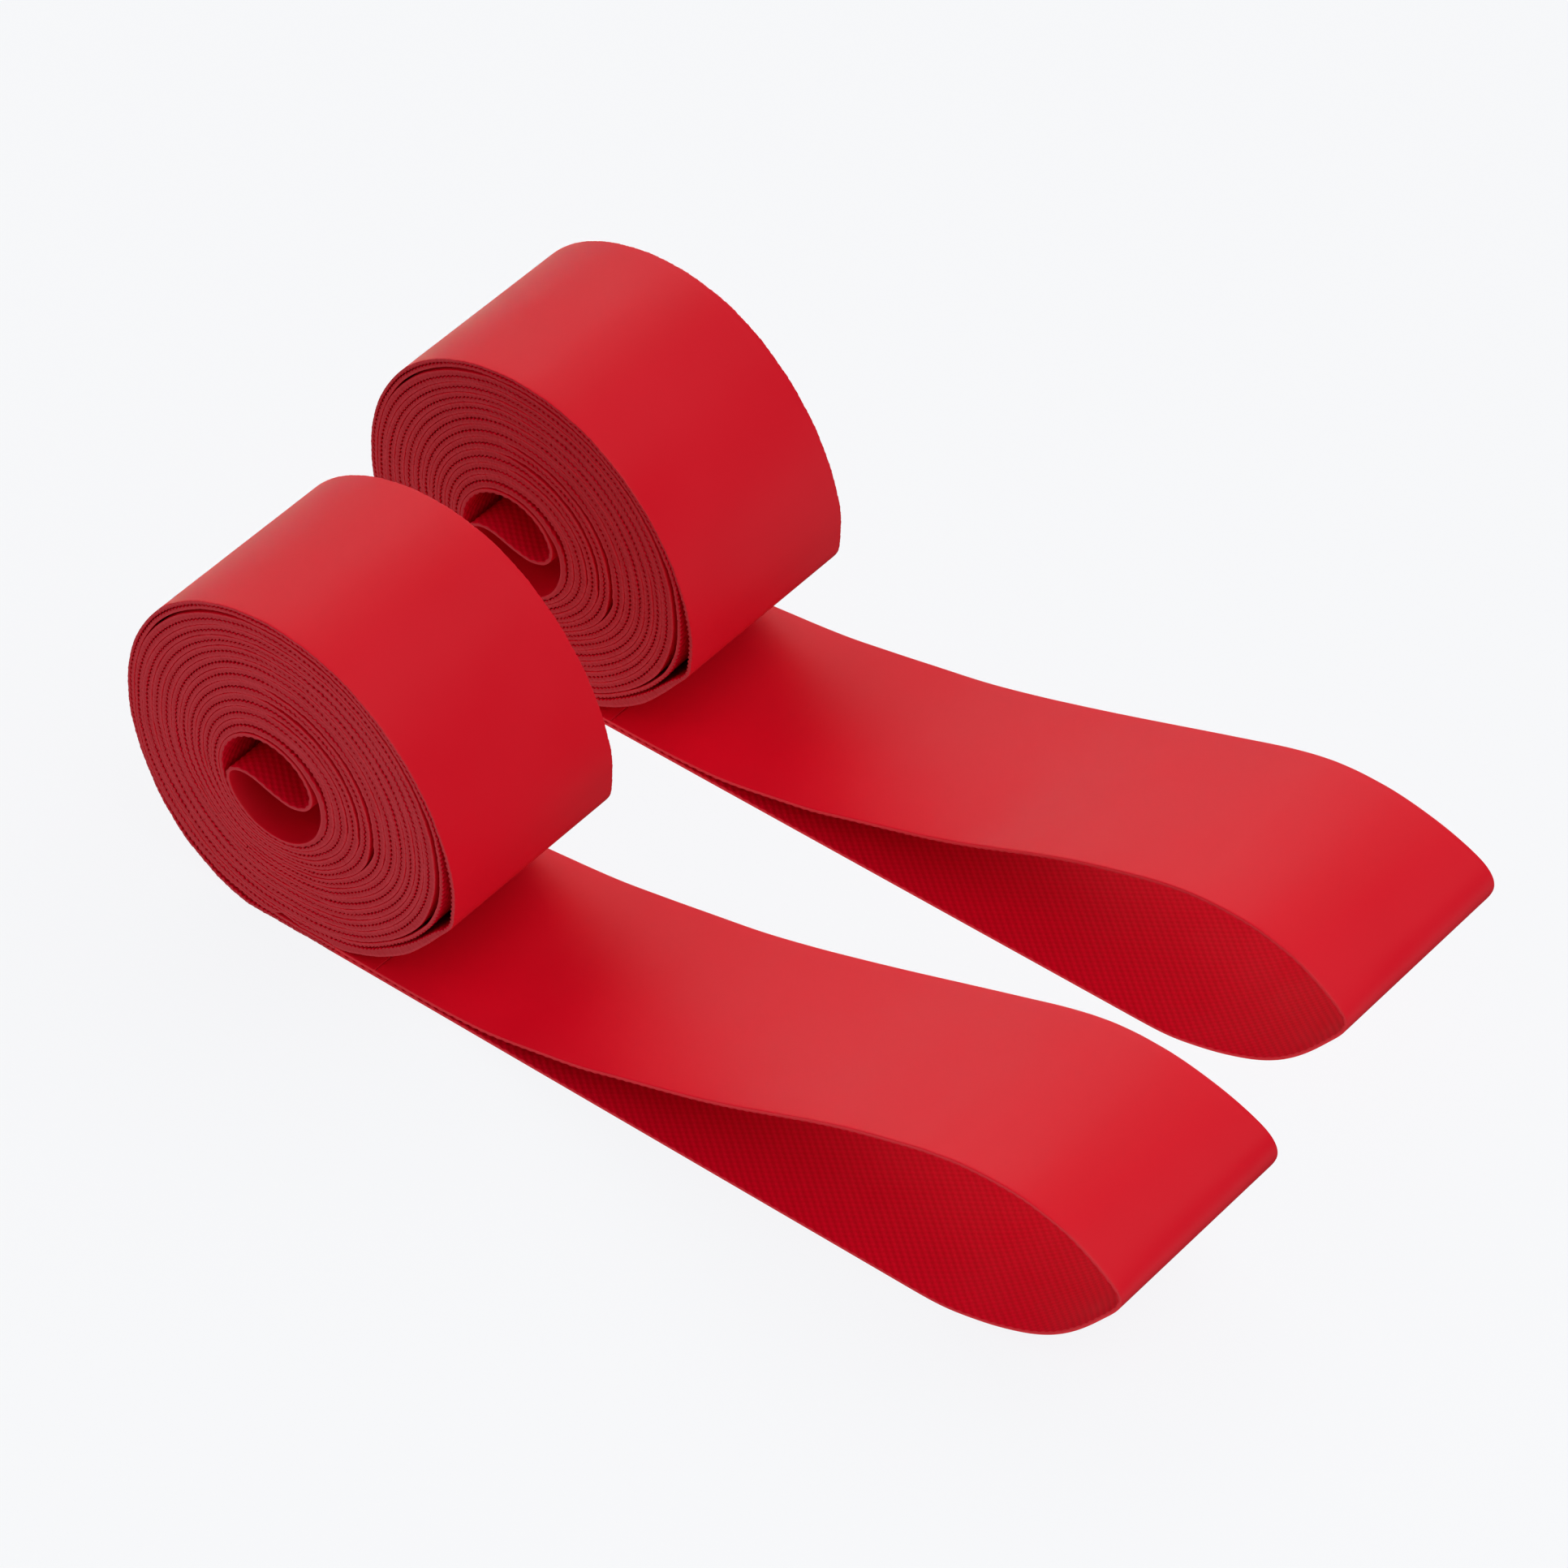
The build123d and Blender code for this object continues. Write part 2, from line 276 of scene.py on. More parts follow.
def smoothed(line, reach):
    """Light smoothing along a line, ends kept; reach is in points."""
    kernel = np.hanning(2 * reach + 3)[1:-1]
    kernel /= kernel.sum()
    padded = np.vstack([2 * line[0] - line[1:reach + 1][::-1], line,
                        2 * line[-1] - line[-reach - 1:-1][::-1]])
    return np.c_[np.convolve(padded[:, 0], kernel, "valid"),
                 np.convolve(padded[:, 1], kernel, "valid")]


def middle(strand):
    return (strand[0] + strand[1]) / 2


def thicken(centre, normal):
    """Strand about a centre line, smooth side on the normals' side."""
    return centre + normal * THICK / 2, centre - normal * THICK / 2


def join(strands):
    """Strands end to end, without doubled points."""
    smooth_side, woven_side = (np.vstack(lines) for lines in zip(*strands))
    steps = np.diff(middle((smooth_side, woven_side)), axis=0)
    keep = np.r_[True, np.hypot(*steps.T) > 5e-4]
    return smooth_side[keep], woven_side[keep]


def resample(strand, step, trim=0.0):
    """Evenly spaced strand and its lengths; trim takes a hair off both ends."""
    lengths = arc(middle(strand))
    count = max(8, int(round(lengths[-1] / step)) + 1)
    wanted = np.linspace(trim, lengths[-1] - trim, count)
    return tuple(along(line, lengths, wanted) for line in strand), wanted


# ---------------------------------------------------------------------------
# the roll: radii of both strands at every angle
# ---------------------------------------------------------------------------
ANGLES = np.round(np.arange(FIRST_ANGLE, LAST_ANGLE + ANGLE_STEP / 2, ANGLE_STEP), 4)
ON_LAST = ANGLES >= LAST_START


def outline_radius(angles):
    """Radius of the roll's outline about the hole's centre, never below the floor."""
    known_angles, known_radii = [], []
    for angle, radius in OUTLINE:
        x = ROLL_X + radius * math.cos(math.radians(angle)) - HOLE_X
        z = ROLL_Z + radius * math.sin(math.radians(angle)) - HOLE_Z
        turned = math.degrees(math.atan2(z, x))
        while known_angles and turned < known_angles[-1] - 180:
            turned += 360
        known_angles.append(turned)
        known_radii.append(math.hypot(x, z))
    radii = pchip(known_angles, known_radii, angles)
    sine = np.sin(np.radians(angles))
    to_floor = np.where(sine < -1e-3, HOLE_Z / np.maximum(-sine, 1e-3), 9.0)
    return np.minimum(radii, to_floor)


def table_radius(table):
    """Radius at every angle from a table of turns, held constant beyond its ends."""
    known = sorted((first + 360 * turn, radius) for first, radii in table.items()
                   for turn, radius in enumerate(radii))
    known_angles, known_radii = zip(*known)
    return pchip(known_angles, known_radii, np.clip(ANGLES, known_angles[0], known_angles[-1]))


def turn_tuning():
    """How the slack is shared, how thick either strand may be, and the corner's thickening."""
    theta = ANGLES % 360
    turn = ANGLES // 360
    into_last = ANGLES - LAST_START
    off_right = np.minimum(np.abs(theta - 30), 360 - np.abs(theta - 30))
    right = ramp(off_right, 130, 85)               # 1 on the right, round 30 degrees
    upper_right = ramp(off_right, 75, 50)          # the same, narrower
    upper_left = ramp(np.abs(theta - 135), 45, 5)
    tight = (1 - right) * (1 - upper_left)

    # part of the slack next to the line between the two strands
    share = .90 - .78 * right - .2 * upper_left
    share = np.where((turn <= 2) & (right > 0), share + .45 * right, share)
    share = np.where((into_last > 20) & (into_last < 120),
                     share + (.60 - share) * ramp(into_last, 22, 45) * ramp(into_last, 115, 95),
                     share)

    # thickest: by side, then for the turns at 3 to 5, the tight side, and the outer lower right
    low_turns = (turn >= 3) & (turn <= 5)
    thickest = .0290 + .0045 * right - .0080 * upper_right * ((turn == 3) | (turn == 4))
    thickest = thickest + .0060 * (right - upper_right) * low_turns
    thickest = thickest + .0070 * ramp(theta, 285, 300) * ramp(theta, 358, 346) * low_turns
    thickest = thickest + .0070 * tight * ((np.abs(ANGLES - 360 * 7 - 225) < 150)
                                           | (ANGLES > 360 * 10 + 60))
    thickest = thickest + .0080 * ramp(theta, 270, 290) * ramp(theta, 350, 335) * (turn >= 9)
    thickest = np.where(ON_LAST, np.minimum(thickest, .0290 - .0085 * ramp(into_last, 0, 45)),
                        thickest)

    # the frayed edge at the corner of the last turn
    thickest_outer = np.where(ON_LAST & (into_last < 80),
                              np.maximum(thickest, .0205 + .0255 * ramp(into_last, 76, 68)),
                              thickest)
    corner = .0110 * ramp(into_last, 36, 50) * ramp(into_last, 74, 66)
    return share, thickest, thickest_outer, corner


def wind_turns():
    """Both strands of the roll, worked outwards; the inner one is NaN before it begins."""
    share, thickest, thickest_outer, corner = turn_tuning()
    per_turn = int(round(360 / ANGLE_STEP))
    strand_line = table_radius(STRAND_LINE)
    turn_line = np.where(ON_LAST, outline_radius(ANGLES - 360 * TURNS), table_radius(TURN_LINE))
    wall_angles = np.clip(ANGLES, WALL_ANGLES[0], WALL_ANGLES[-1])
    wall = pchip(WALL_ANGLES, WALL_RADII, wall_angles) - THICK / 2

    count = len(ANGLES)
    outer_smooth, outer_woven = np.zeros(count), np.zeros(count)
    inner_smooth, inner_woven = np.full(count, np.nan), np.full(count, np.nan)
    for i, angle in enumerate(ANGLES):
        if angle < INNER_START:
            outer_smooth[i] = turn_line[i]
            outer_woven[i] = turn_line[i] - THICK
            continue
        if i >= per_turn:
            turn_below = outer_smooth[i - per_turn] + GAP / 2
            inside = max(turn_line[i - per_turn], turn_below)
            if angle <= WALL_LEFT:
                weight = ramp(angle, WALL_ANGLES[-1], WALL_LEFT)
                inside = (1 - weight) * max(wall[i] - GAP / 2, turn_below) + weight * inside
        else:
            inside = wall[i] - GAP / 2
        low = inside + GAP / 2
        between = max(strand_line[i] - corner[i], low + THINNEST + GAP / 2)
        if ON_LAST[i]:
            high = turn_line[i]
            between = min(between, high - THINNEST - GAP / 2)
        else:
            high = max(turn_line[i] - GAP / 2, between + GAP / 2 + THINNEST)

        thickness = min(thickest[i], between - GAP / 2 - low)
        slack = between - GAP / 2 - low - thickness
        inner_woven[i] = between - GAP / 2 - share[i] * slack
        inner_smooth[i] = inner_woven[i] - thickness

        thickness = min(thickest_outer[i], high - between - GAP / 2)
        slack = high - between - GAP / 2 - thickness
        outer_share = 1.0 if ON_LAST[i] else share[i]
        outer_woven[i] = between + GAP / 2 + outer_share * slack
        outer_smooth[i] = outer_woven[i] + thickness

    def line(radii):
        radians = np.radians(ANGLES)
        return np.c_[HOLE_X + radii * np.cos(radians), HOLE_Z + radii * np.sin(radians)]

    outer = tuple(smoothed(line(radii), 6) for radii in (outer_smooth, outer_woven))
    inner = line(inner_smooth), line(inner_woven)
    begun = ANGLES >= INNER_START
    for side in inner:
        side[begun] = smoothed(side[begun], 6)
    return outer, inner


def span(strand, start, end, reverse=False):
    """Part of a rolled strand between two angles."""
    part = (ANGLES >= start - 1e-6) & (ANGLES <= end + 1e-6)
    order = -1 if reverse else 1
    return tuple(line[part][::order] for line in strand)


def core_fold():
    """Strand of the fold, led in and out by points of the strands it joins."""
    def points(strand, angles):
        centre = middle(strand)
        return [centre[int(round((angle - FIRST_ANGLE) / ANGLE_STEP))] for angle in angles]

    line, lengths, known = spline(
        points(INNER, (243, 225, 213, 205)) + FOLD + points(OUTER, (27, 37, 47, 63)), 0.0035)
    keep = (lengths >= known[3] - 1e-9) & (lengths <= known[-4] + 1e-9)
    return thicken(line[keep], normals(line)[keep])


def floor_strand(smooth_z, woven_z):
    """Flat strand under the roll, up to the nip."""
    x = np.arange(5.60, ROLL_END_X + 1e-6, .006)
    return tuple(np.c_[x, np.full(len(x), z)] for z in (smooth_z, woven_z))


def leaving_angle(strand):
    """Last angle before a strand of the outer turns runs on into its floor strand."""
    rolled = (ANGLES > CUTS[2] - 1e-6) & ((strand[0][:, 0] < 5.50) | (ANGLES < LAST_ANGLE - 60))
    return ANGLES[rolled].max()


OUTER, INNER = wind_turns()
FLOOR_LOWER = floor_strand(0.0, THICK - GAP / 2)
FLOOR_UPPER = floor_strand(2 * THICK + .0004, THICK + GAP / 2)

# the middle turns' outer strand starts with the weld
WELDED = span(OUTER, CUTS[1], CUTS[2])
WELDED_LENGTHS = arc(middle(WELDED))


def welded_part(mask):
    return tuple(line[mask] for line in WELDED)


# rolled pieces: strands, each with the length its weave is counted from
ROLLED = {
    "core_fold": [
        (join([span(INNER, 205, FOLD_INNER_END, True), core_fold(),
               span(OUTER, FIRST_ANGLE, FOLD_OUTER_END)]), 0.0)],
    "core_turns": [
        (span(OUTER, FOLD_OUTER_END, CUTS[0]), 0.0),
        (span(INNER, FOLD_INNER_END, CUTS[0], True), .011)],
    "inner_turns": [
        (span(OUTER, CUTS[0], CUTS[1]), .021),
        (span(INNER, CUTS[0], CUTS[1], True), .007)],
    "middle_turns": [
        (welded_part(WELDED_LENGTHS >= AFTER_WELD), .003),
        (span(INNER, CUTS[1], CUTS[2], True), .017)],
    "outer_turns": [
        (join([span(OUTER, CUTS[2], leaving_angle(OUTER)), FLOOR_LOWER]), .009),
        (join([tuple(line[::-1] for line in FLOOR_UPPER),
               span(INNER, CUTS[2], leaving_angle(INNER), True)]), .030)],
}


# ---------------------------------------------------------------------------
# the loop: centre lines at the near and far edge of the band
# ---------------------------------------------------------------------------
def edge_line(bend, run):
    """Centre line from the roll out along the floor, round the bend and back."""
    floor_part = np.array([[x, THICK / 2] for x in np.arange(ROLL_END_X, 8.795, LINE_STEP)])
    top_x = np.arange(TOP_X, ROLL_END_X - 1e-9, -LINE_STEP)
    top_part = np.c_[top_x, pchip(*zip(*run), top_x)]
    line = np.vstack([floor_part, spline(bend, LINE_STEP)[0], top_part[1:]])
    lengths = arc(line)
    wanted = np.linspace(0, lengths[-1], int(lengths[-1] / LINE_STEP))
    return smoothed(along(line, lengths, wanted), 12)


def seam_lengths(line):
    """Lengths at which a line passes the seam, on the floor and on the upper run."""
    lengths = arc(line)
    tip = np.argmax(line[:, 0])
    return (float(np.interp(SEAM_X, line[:tip, 0], lengths[:tip])),
            float(np.interp(-SEAM_X, -line[tip:, 0], lengths[tip:])))


def loop_section(count, near_span, far_span):
    """Near and far strand between two lengths of each edge line."""
    sides = []
    for line, (start, end) in ((NEAR_LINE, near_span), (FAR_LINE, far_span)):
        lengths = arc(line)
        wanted = np.linspace(start, end, count)
        normal = along(normals(line), lengths, wanted)
        normal /= np.hypot(normal[:, 0], normal[:, 1])[:, None]
        sides.append(thicken(along(line, lengths, wanted), normal))
    return sides


NEAR_LINE, FAR_LINE = edge_line(NEAR_BEND, NEAR_RUN), edge_line(FAR_BEND, FAR_RUN)
NEAR_SEAM, FAR_SEAM = seam_lengths(NEAR_LINE), seam_lengths(FAR_LINE)


# ---------------------------------------------------------------------------
# meshes
# ---------------------------------------------------------------------------
def weave(s, y, cut_threads):
    """Raised weave of the backing: a lattice of small pads, with the cut thread ends of both
    rows showing as closer dots along the edges."""
    pads = np.cos(2 * np.pi * (RIBS_ALONG * s - .45 * y)) * np.cos(2 * np.pi * RIBS_ACROSS * y)
    twill = np.cos(2 * np.pi * (RIBS_ALONG * s + RIBS_ACROSS * y))
    height = .85 * pads + .15 * twill
    if cut_threads:
        rim = ramp(np.minimum(y, 1 - y), .030, .012)
        dots = np.cos(2 * np.pi * 40 * s + 1.3 * np.sin(9 * s))
        height = (1 - rim) * height + rim * dots
    return height


def uneven(s, seed):
    """How far the cut edge stands in or out along the strip, fading out at both ends."""
    random = np.random.RandomState(seed)
    slow = sum(np.sin(2 * np.pi * rate * s + random.uniform(0, 6.28)) * size
               for rate, size in ((.7, .5), (1.9, .35), (4.7, .3), (11.0, .2)))
    quick = sum(np.sin(2 * np.pi * rate * s + random.uniform(0, 6.28))
                for rate in (23.0, 37.0, 61.0)) / 3
    fade = ramp(s, s[0], s[0] + .12) * ramp(s, s[-1], s[-1] - .12)
    return (.0026 * slow + .0017 * quick) * fade


class Shells:
    """Collects closed shells for one object."""

    def __init__(self, shift):
        self.shift = shift
        self.vertices, self.faces, self.slots, self.smooth, self.heights = [], [], [], [], []
        self.count = 0

    def place(self, points, places):
        """Band-width points (n, m, 2) at places across the band, as metres (n, m, 3)."""
        placed = np.empty(points.shape[:2] + (3,))
        placed[..., 0] = points[..., 0] * WIDTH + self.shift[0]
        placed[..., 1] = self.shift[1] + places[None, :] * WIDTH
        placed[..., 2] = points[..., 1] * WIDTH
        return placed

    def add(self, face, back, places, flip, edges=None, heights=None):
        """One ply. face: (n, m, 2) detailed side; back: its plain side's near and far line;
        edges: how far the near and far edge stand in."""
        n, m = face.shape[:2]
        front = self.place(face, places)
        rear = self.place(np.stack(back, axis=1), places[[0, -1]])
        if edges is not None:
            side = np.clip(1 - places / .03, 0, 1)[None, :] * edges[0][:, None] \
                - np.clip(1 - (1 - places) / .03, 0, 1)[None, :] * edges[1][:, None]
            front[..., 1] += side * WIDTH
            rear[:, 0, 1] += edges[0] * WIDTH
            rear[:, 1, 1] -= edges[1] * WIDTH
        vertices = np.vstack([front.reshape(-1, 3), rear.reshape(-1, 3)])

        first = (np.arange(n - 1)[:, None] * m + np.arange(m - 1)[None, :]).ravel()
        i = np.arange(n - 1)
        base = n * m                       # first vertex of the plain side
        b = base + 2 * i
        plies = np.vstack([np.c_[first, first + 1, first + m + 1, first + m],
                           np.c_[b, b + 2, b + 3, b + 1]])
        walls = np.vstack([np.c_[i * m, i * m + m, b + 2, b],
                           np.c_[i * m + m - 1, b + 1, b + 3, i * m + 2 * m - 1]])
        order = -1 if flip else 1
        quads = np.vstack([plies, walls])[:, ::order]
        start_cap = np.r_[np.arange(m), base + 1, base][::-order]
        end_cap = np.r_[(n - 1) * m + np.arange(m)[::-1],
                        base + 2 * n - 2, base + 2 * n - 1][::-order]
        for polygon in (*quads.tolist(), start_cap.tolist(), end_cap.tolist()):
            self.faces.append(tuple(index + self.count for index in polygon))
        self.slots += [0] * len(plies) + [1] * len(walls) + [0, 0]
        self.smooth += [True] * len(plies) + [False] * (len(walls) + 2)

        values = np.zeros(len(vertices))
        if heights is not None:
            values[:base] = heights.ravel()
        self.vertices.append(vertices)
        self.heights.append(values)
        self.count += len(vertices)

    def build(self, name, materials):
        mesh = bpy.data.meshes.new(name)
        mesh.from_pydata(np.vstack(self.vertices).tolist(), [], self.faces)
        mesh.polygons.foreach_set("material_index", np.array(self.slots, np.int32))
        mesh.polygons.foreach_set("use_smooth", np.array(self.smooth, bool))
        for material in materials:
            mesh.materials.append(material)
        # weave heights, also read by the backing's colour to paint shade into the sunk lines and
        # light onto the pads
        height = mesh.attributes.new("weave_height", "FLOAT", "POINT")
        height.data.foreach_set("value", np.concatenate(self.heights).astype(np.float32))
        mesh.validate()
        mesh.update()
        made = bpy.data.objects.new(name, mesh)
        bpy.context.scene.collection.objects.link(made)
        return made


def across(near, far, places):
    """Grid of points between a near and a far line."""
    y = places[None, :, None]
    return near[:, None] * (1 - y) + far[:, None] * y


def add_strip(plies, near, far, start, full_weave, depth=FINE_DEPTH, seed=None):
    """Adds one length of strip to a coating and a backing, between a near and a far strand.
    With a seed, its cut edges are uneven and show their threads."""
    coating, backing = plies
    s = start + arc(middle(near))
    through = [woven_side - smooth_side for smooth_side, woven_side in (near, far)]
    near_thick, far_thick = (np.hypot(d[:, 0], d[:, 1])[:, None] for d in through)
    near_dir, far_dir = through[0] / near_thick, through[1] / far_thick   # smooth to woven
    edges = None if seed is None else (uneven(s, seed), uneven(s, seed + 1))

    # smooth ply
    face = across(near[0], far[0], COAT_PLACES) \
        + across(near_dir, far_dir, COAT_PLACES) * COAT_ROUNDING[None, :, None]
    near_back, far_back = near[0] + near_dir * COAT, far[0] + far_dir * COAT
    coating.add(face, (near_back, far_back), COAT_PLACES, flip=False, edges=edges)

    # woven ply, a hair off the smooth one
    places, gate = (FULL_PLACES, FULL_GATE) if full_weave else (RIM_PLACES, RIM_GATE)
    room = (near_thick * (1 - places[None, :]) + far_thick * places[None, :]) - COAT
    local_depth = np.minimum(depth, .45 * room)
    heights = weave(s[:, None], places[None, :], seed is not None) * gate[None, :]
    sunk = local_depth - heights * local_depth
    face = across(near[1], far[1], places) - across(near_dir, far_dir, places) * sunk[..., None]
    backing.add(face, (near_back + near_dir * 2e-5, far_back + far_dir * 2e-5), places,
                flip=True, edges=edges, heights=heights)


# ---------------------------------------------------------------------------
# materials
# ---------------------------------------------------------------------------
def new_material(name):
    material = bpy.data.materials.new(name)
    material.use_nodes = True
    tree = material.node_tree
    tree.nodes.clear()
    output = tree.nodes.new("ShaderNodeOutputMaterial")
    shader = tree.nodes.new("ShaderNodeBsdfPrincipled")
    tree.links.new(shader.outputs["BSDF"], output.inputs["Surface"])
    return material, tree, shader, output


def object_coordinates(tree):
    source = tree.nodes.new("ShaderNodeTexCoord")
    mapping = tree.nodes.new("ShaderNodeMapping")
    tree.links.new(source.outputs["Object"], mapping.inputs["Vector"])
    return mapping.outputs["Vector"]


def texture(tree, kind, vector, **inputs):
    node = tree.nodes.new("ShaderNodeTex" + kind)
    for name, value in inputs.items():
        node.inputs[name].default_value = value
    tree.links.new(vector, node.inputs["Vector"])
    return node.outputs["Fac"]


def mix_colour(tree, factor, low, high):
    node = tree.nodes.new("ShaderNodeMix")
    node.data_type = "RGBA"
    node.inputs[6].default_value = low
    node.inputs[7].default_value = high
    tree.links.new(factor, node.inputs[0])
    return node.outputs[2]


def remap(tree, value, target, source=(.3, .7)):
    node = tree.nodes.new("ShaderNodeMapRange")
    for socket, limit in enumerate(source + target, start=1):
        node.inputs[socket].default_value = limit
    tree.links.new(value, node.inputs[0])
    return node.outputs[0]


def multiply_add(tree, value, factor, addend):
    node = tree.nodes.new("ShaderNodeMath")
    node.operation = "MULTIPLY_ADD"
    tree.links.new(value, node.inputs[0])
    node.inputs[1].default_value = factor
    tree.links.new(addend, node.inputs[2])
    return node.outputs[0]


def finish(tree, shader, colour, roughness, specular, height, strength, distance):
    """Links colour, roughness and a bump of the given strength and distance."""
    tree.links.new(colour, shader.inputs["Base Color"])
    tree.links.new(roughness, shader.inputs["Roughness"])
    shader.inputs["Specular IOR Level"].default_value = specular
    bump = tree.nodes.new("ShaderNodeBump")
    bump.inputs["Strength"].default_value = strength
    bump.inputs["Distance"].default_value = distance
    tree.links.new(height, bump.inputs["Height"])
    tree.links.new(bump.outputs["Normal"], shader.inputs["Normal"])


def coating_material():
    """Smooth satin coating: deep red, soft broad sheen, faint mottling and fine grain."""
    material, tree, shader, _ = new_material("satin_coating")
    vector = object_coordinates(tree)
    broad = texture(tree, "Noise", vector, Scale=90.0, Detail=3.0, Roughness=.55)
    grain = texture(tree, "Noise", vector, Scale=2600.0, Detail=4.0, Roughness=.6)
    finish(tree, shader,
           colour=mix_colour(tree, broad, low=(.600, .0010, .0115, 1),
                             high=(.640, .0022, .0145, 1)),
           roughness=remap(tree, broad, target=(.40, .48)),
           specular=.42, height=grain, strength=.10, distance=.00002)
    return material


def weave_material():
    """Woven backing: dull deep red; the pads are coloured lighter and the sunk lines between
    them darker, as painted light and painted shade in the weave.
    """
    material, tree, shader, _ = new_material("woven_backing")
    vector = object_coordinates(tree)
    broad = texture(tree, "Noise", vector, Scale=120.0, Detail=3.0, Roughness=.55)
    fibre = texture(tree, "Noise", vector, Scale=5200.0, Detail=4.0, Roughness=.65)
    height = tree.nodes.new("ShaderNodeAttribute")
    height.attribute_name = "weave_height"
    # the weave height darkens the sunk lines and lightens the pads (painted shade and light);
    # the fibre noise adds the backing's own flecked tone
    fibre_tone_and_weave_shade = multiply_add(
        tree, remap(tree, fibre, target=(0, .3)), factor=1.0,
        addend=remap(tree, height.outputs["Fac"], source=(-.8, .8), target=(0, .7)))
    finish(tree, shader,
           colour=mix_colour(tree, fibre_tone_and_weave_shade, low=(.47, .0002, .0066, 1),
                             high=(.73, .0010, .0215, 1)),
           roughness=remap(tree, broad, target=(.58, .70)),
           specular=.10, height=fibre, strength=.35, distance=.00004)
    return material


def edge_material(name, dark, pale, roughness):
    """Cut edge: dull, dusty and a little paler, with fine fibres and flecks."""
    material, tree, shader, _ = new_material(name)
    vector = object_coordinates(tree)
    fleck = texture(tree, "Noise", vector, Scale=3800.0, Detail=4.0, Roughness=.7)
    broad = texture(tree, "Noise", vector, Scale=260.0, Detail=2.0, Roughness=.5)
    mottling = multiply_add(tree, broad, factor=.5, addend=remap(tree, fleck, target=(0, .5)))
    shader.inputs["Roughness"].default_value = roughness     # the socket's value under its link
    finish(tree, shader,
           colour=mix_colour(tree, mottling, low=dark, high=pale),
           roughness=remap(tree, fleck, target=(roughness, roughness + .1)),
           specular=.15, height=fleck, strength=.4, distance=.00004)
    return material


def weld_material():
    """Heat-pressed weld: the coating's red with fine cross ribs."""
    material, tree, shader, _ = new_material("pressed_weld")
    ribs = texture(tree, "Wave", object_coordinates(tree), Scale=420.0, Distortion=.4,
                   Detail=1.0)
    finish(tree, shader,
           colour=mix_colour(tree, ribs, low=(.50, .0030, .012, 1), high=(.60, .0060, .018, 1)),
           roughness=remap(tree, ribs, source=(0, 1), target=(.44, .52)),
           specular=.2, height=ribs, strength=.3, distance=.00003)
    return material


def floor_material():
    """Pale floor, mostly its own even glow, with a little shading mixed in."""
    material, tree, shader, output = new_material("pale_floor")
    glow = tree.nodes.new("ShaderNodeEmission")
    glow.inputs["Color"].default_value = (.939, .947, .965, 1)
    glow.inputs["Strength"].default_value = 1.0
    shader.inputs["Base Color"].default_value = (.8, .8, .8, 1)
    shader.inputs["Roughness"].default_value = .9
    shader.inputs["Specular IOR Level"].default_value = 0
    mix = tree.nodes.new("ShaderNodeMixShader")
    mix.inputs[0].default_value = .07
    tree.links.new(glow.outputs[0], mix.inputs[1])
    tree.links.new(shader.outputs["BSDF"], mix.inputs[2])
    tree.links.new(mix.outputs[0], output.inputs["Surface"])
    return material


# each ply's face material, then the edges of the rolled pieces and of the loop
FACES = {"coating": coating_material(), "backing": weave_material()}
# the roll's cut edges: a darker copy of the cut-edge colour, painted shade on the end face
ROLL_EDGES_PAINTED_SHADE = {
    "coating": edge_material("cut_edge_coating", dark=(.400, .0164, .0244, 1),
                             pale=(.490, .0338, .0452, 1), roughness=.62),
    "backing": edge_material("cut_edge_backing", dark=(.350, .0125, .0190, 1),
                             pale=(.440, .0283, .0381, 1), roughness=.75)}
# the loop's edges: a lighter copy of the same cut-edge colour, painted light along the loop's
# edges
LOOP_EDGES_PAINTED_LIGHT = {
    "coating": edge_material("loop_edge_painted_light_coating", dark=(.550, .0130, .0230, 1),
                             pale=(.650, .0260, .0360, 1), roughness=.60),
    "backing": edge_material("loop_edge_painted_light_backing", dark=(.480, .0100, .0180, 1),
                             pale=(.570, .0210, .0300, 1), roughness=.72)}
WELD = weld_material()

# ---------------------------------------------------------------------------
# pieces
# ---------------------------------------------------------------------------
# rolled piece: body it rides, pieces it stands in for
ROLLED_PARTS = {
    "core_fold": ("core", ["core_fold"]),
    "core_turns": ("core", ["core_fold"]),
    "inner_turns": ("inner_turns", ["inner_turns_outer_strand", "inner_turns_inner_strand"]),
    "middle_turns": ("middle_turns",
                     ["middle_turns_outer_strand", "middle_turns_inner_strand"]),
    "outer_turns": ("roll", ["outer_turns_outer_strand", "outer_turns_inner_strand"]),
}


def build_plies(band, key, plies, edges, attach, replaced):
    for ply, shells in zip(("coating", "backing"), plies):
        made = shells.build(f"{band}_{key}_soft_{ply}", [FACES[ply], edges[ply]])
        attach(made)
        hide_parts(*[f"{band}_{name}_{ply}" for name in replaced])


def build_rolled(band, key):
    """One piece of the roll; only the fold is woven across its full width."""
    plies = Shells(SHIFT[band]), Shells(SHIFT[band])
    fold = key == "core_fold"
    trim = SLIP_TRIM if key in ("inner_turns", "middle_turns") else 0.0
    for whole, start in ROLLED[key]:
        strand, _ = resample(whole, FOLD_STEP if fold else STEP, trim)
        add_strip(plies, strand, strand, start, full_weave=fold,
                  depth=FINE_DEPTH if fold else ROLL_DEPTH,
                  seed=None if fold else int(round(start * 1000)))
    body, replaced = ROLLED_PARTS[key]
    build_plies(band, key, plies, ROLL_EDGES_PAINTED_SHADE, lambda made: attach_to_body(made, f"{band}_{body}"),
                replaced)


